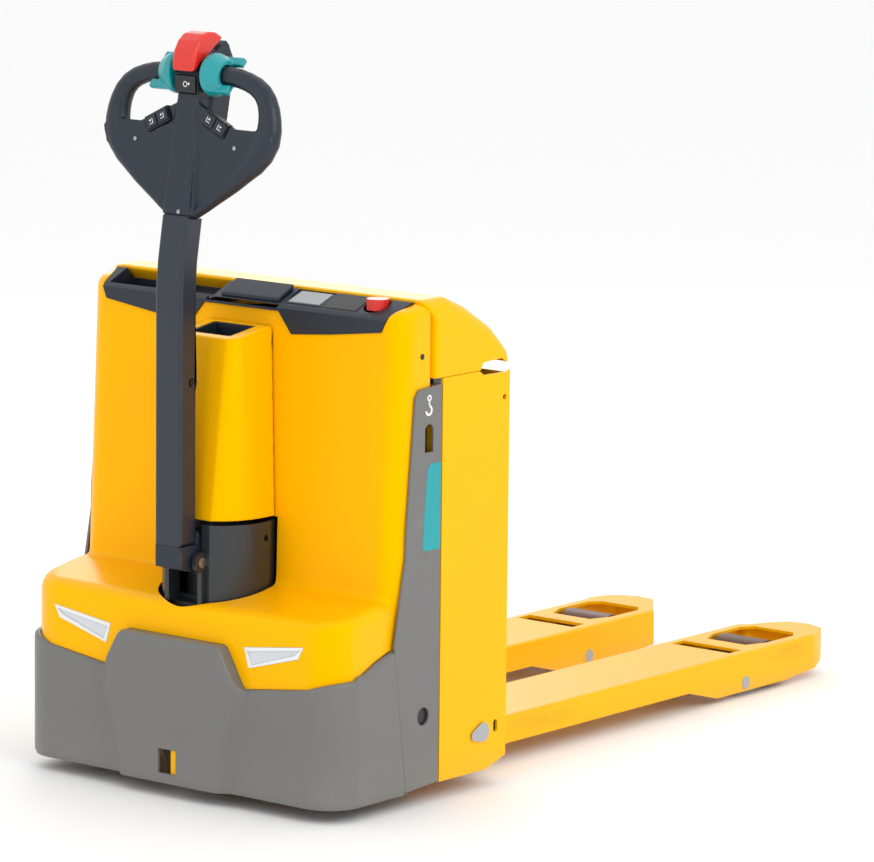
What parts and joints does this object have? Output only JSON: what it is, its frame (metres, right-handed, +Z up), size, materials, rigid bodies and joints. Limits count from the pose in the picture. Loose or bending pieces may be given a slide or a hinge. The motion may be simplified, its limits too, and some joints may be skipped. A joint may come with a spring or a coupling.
{
  "type": "electric pallet truck",
  "caption": "Electric pedestrian pallet truck with a steered drive wheel under a tiller, battery housing, and two low-lift forks carried on load rollers.",
  "frame": {"origin": "on the floor, at the middle of the truck's length and width", "axes": "+Y towards the fork tips, +Z up, +X to the right seen from the tiller"},
  "size_m": [0.728, 1.63, 1.312],
  "materials": {
    "yellow_paint": "semi-gloss powder coat",
    "yellow_cover": "painted plastic, semi-gloss",
    "grey_paint": "matt powder coat",
    "slate_plastic": "fine-grained",
    "black_parts": "satin",
    "display_glass": "polished",
    "white_plastic": "smooth",
    "lens": "clear, smooth",
    "steel_parts": "machined",
    "zinc": "zinc-plated",
    "cast_housing": "painted casting",
    "motor_black": "satin black",
    "alu": "as extruded",
    "battery_case": "coated case",
    "wheel_rubber": "rubber tread",
    "roller_pu": "cast polyurethane",
    "teal_plastic": "smooth",
    "red_plastic": "smooth"
  },
  "bodies": {
    "drive_unit": {"chassis": "yellow_paint", "bumper": "grey_paint", "side_plate_left": "grey_paint", "side_plate_right": "grey_paint", "front_hood": "yellow_cover", "console": "slate_plastic", "column_cover": "yellow_cover", "pocket_liner": "slate_plastic", "headlight_bezels": "white_plastic", "headlight_lenses": "lens", "display": "display_glass", "estop_collar": "yellow_cover", "slewing_ring_outer": "steel_parts", "hydraulic_pump": "motor_black", "lift_cylinder": "motor_black", "controller": "alu", "hood_screws": "black_parts"},
    "storage_lid": {"storage_lid": "slate_plastic"},
    "emergency_stop": {"estop_knob": "red_plastic"},
    "steering": {"turret": "cast_housing", "slewing_ring_inner": "steel_parts", "gearbox": "cast_housing", "drive_motor": "motor_black", "tiller_pin": "steel_parts"},
    "drive_wheel": {"wheel_hub": "steel_parts", "wheel_tyre": "wheel_rubber"},
    "tiller": {"tiller_arm": "alu", "tiller_cover": "slate_plastic", "head_front": "slate_plastic", "head_back": "slate_plastic", "grip_left": "slate_plastic", "grip_right": "slate_plastic", "key_panels": "black_parts", "tiller_screws": "zinc", "tiller_spring": "steel_parts"},
    "travel_rocker": {"travel_rocker": "teal_plastic"},
    "belly_button": {"belly_button": "red_plastic"},
    "crawl_button": {"crawl_button": "black_parts"},
    "key_lift_left": {"key_lift_left": "slate_plastic"},
    "key_lower_left": {"key_lower_left": "slate_plastic"},
    "key_lift_right": {"key_lift_right": "slate_plastic"},
    "key_lower_right": {"key_lower_right": "slate_plastic"},
    "castor_left": {"castor_fork_left": "steel_parts"},
    "castor_right": {"castor_fork_right": "steel_parts"},
    "castor_wheel_left": {"castor_wheel_left": "wheel_rubber"},
    "castor_wheel_right": {"castor_wheel_right": "wheel_rubber"},
    "load_section": {"load_frame": "yellow_paint", "fork_left": "yellow_paint", "fork_right": "yellow_paint", "battery": "battery_case", "pivot_pins": "zinc", "lift_ram": "steel_parts"},
    "battery_hood": {"battery_hood": "yellow_cover"},
    "lift_rocker": {"lift_rocker": "steel_parts"},
    "push_rods": {"push_rods": "steel_parts"},
    "load_lever_left": {"load_lever_left": "steel_parts"},
    "load_lever_right": {"load_lever_right": "steel_parts"},
    "load_roller_left": {"load_roller_left": "roller_pu"},
    "load_roller_right": {"load_roller_right": "roller_pu"}
  },
  "joints": [
    {"name": "steering_turn", "type": "hinge", "parent": "drive_unit", "child": "steering", "pos_m": [0, -0.68, 0.3], "axis": [0, 0, 1], "range_deg": [-90, 90]},
    {"name": "drive_wheel_spin", "type": "hinge", "parent": "steering", "child": "drive_wheel", "pos_m": [0, -0.68, 0.115], "axis": [1, 0, 0], "continuous": true},
    {"name": "tiller_tilt", "type": "hinge", "parent": "steering", "child": "tiller", "pos_m": [0, -0.772, 0.41], "axis": [1, 0, 0], "range_deg": [0, 80], "stiffness_Nm_per_rad": 40, "springref_deg": -20.05},
    {"name": "travel_rocker_turn", "type": "hinge", "parent": "tiller", "child": "travel_rocker", "pos_m": [0, -0.74, 1.24], "axis": [1, 0, 0], "range_deg": [-22, 22], "stiffness_Nm_per_rad": 1},
    {"name": "belly_button_push", "type": "slide", "parent": "tiller", "child": "belly_button", "axis": [0, 0.592, -0.8059], "range_m": [0, 0.005], "stiffness_N_per_m": 800, "springref_m": -0.003},
    {"name": "crawl_button_push", "type": "slide", "parent": "tiller", "child": "crawl_button", "axis": [0, 1, 0], "range_m": [0, 0.002], "stiffness_N_per_m": 800, "springref_m": -0.001},
    {"name": "key_lift_left_push", "type": "slide", "parent": "tiller", "child": "key_lift_left", "axis": [0.0534, 0.9925, -0.1095], "range_m": [0, 0.002], "stiffness_N_per_m": 800, "springref_m": -0.001},
    {"name": "key_lower_left_push", "type": "slide", "parent": "tiller", "child": "key_lower_left", "axis": [0.0534, 0.9925, -0.1095], "range_m": [0, 0.002], "stiffness_N_per_m": 800, "springref_m": -0.001},
    {"name": "key_lift_right_push", "type": "slide", "parent": "tiller", "child": "key_lift_right", "axis": [-0.0534, 0.9925, -0.1095], "range_m": [0, 0.002], "stiffness_N_per_m": 800, "springref_m": -0.001},
    {"name": "key_lower_right_push", "type": "slide", "parent": "tiller", "child": "key_lower_right", "axis": [-0.0534, 0.9925, -0.1095], "range_m": [0, 0.002], "stiffness_N_per_m": 800, "springref_m": -0.001},
    {"name": "emergency_stop_push", "type": "slide", "parent": "drive_unit", "child": "emergency_stop", "axis": [0, 0, -1], "range_m": [0, 0.004]},
    {"name": "storage_lid_hinge", "type": "hinge", "parent": "drive_unit", "child": "storage_lid", "pos_m": [0.01, -0.574, 0.872], "axis": [-1, 0, 0], "range_deg": [0, 80]},
    {"name": "castor_left_swivel", "type": "hinge", "parent": "drive_unit", "child": "castor_left", "pos_m": [-0.268, -0.646, 0.119], "axis": [0, 0, 1], "continuous": true},
    {"name": "castor_left_spin", "type": "hinge", "parent": "castor_left", "child": "castor_wheel_left", "pos_m": [-0.268, -0.678, 0.05], "axis": [1, 0, 0], "continuous": true},
    {"name": "castor_right_swivel", "type": "hinge", "parent": "drive_unit", "child": "castor_right", "pos_m": [0.268, -0.646, 0.119], "axis": [0, 0, 1], "continuous": true},
    {"name": "castor_right_spin", "type": "hinge", "parent": "castor_right", "child": "castor_wheel_right", "pos_m": [0.268, -0.678, 0.05], "axis": [1, 0, 0], "continuous": true},
    {"name": "lift", "type": "slide", "parent": "drive_unit", "child": "load_section", "axis": [0, 0, 1], "range_m": [0, 0.122]},
    {"name": "battery_hood_hinge", "type": "hinge", "parent": "load_section", "child": "battery_hood", "pos_m": [0, -0.566, 0.866], "axis": [1, 0, 0], "range_deg": [0, 70]},
    {"name": "lift_rocker_turn", "type": "hinge", "parent": "load_section", "child": "lift_rocker", "pos_m": [0, -0.403, 0.101], "axis": [1, 0, 0], "range_deg": [0, 41.93]},
    {"name": "push_rod_pivot", "type": "hinge", "parent": "lift_rocker", "child": "push_rods", "pos_m": [0, -0.42087, 0.0543], "axis": [1, 0, 0], "range_deg": [-41.93, 0]},
    {"name": "load_lever_left_turn", "type": "hinge", "parent": "load_section", "child": "load_lever_left", "pos_m": [-0.184, 0.515, 0.027], "axis": [1, 0, 0], "range_deg": [-73.17, 0]},
    {"name": "load_roller_left_spin", "type": "hinge", "parent": "load_lever_left", "child": "load_roller_left", "pos_m": [-0.184, 0.631, 0.0425], "axis": [1, 0, 0], "continuous": true},
    {"name": "load_lever_right_turn", "type": "hinge", "parent": "load_section", "child": "load_lever_right", "pos_m": [0.184, 0.515, 0.027], "axis": [1, 0, 0], "range_deg": [-73.17, 0]},
    {"name": "load_roller_right_spin", "type": "hinge", "parent": "load_lever_right", "child": "load_roller_right", "pos_m": [0.184, 0.631, 0.0425], "axis": [1, 0, 0], "continuous": true}
  ],
  "couplings": [
    {"joint": "lift_rocker_turn", "follows": "lift", "rad_per_m": 5.9914},
    {"joint": "push_rod_pivot", "follows": "lift", "rad_per_m": -5.9914},
    {"joint": "load_lever_left_turn", "follows": "lift", "rad_per_m": -10.46},
    {"joint": "load_lever_right_turn", "follows": "lift", "rad_per_m": -10.46}
  ]
}
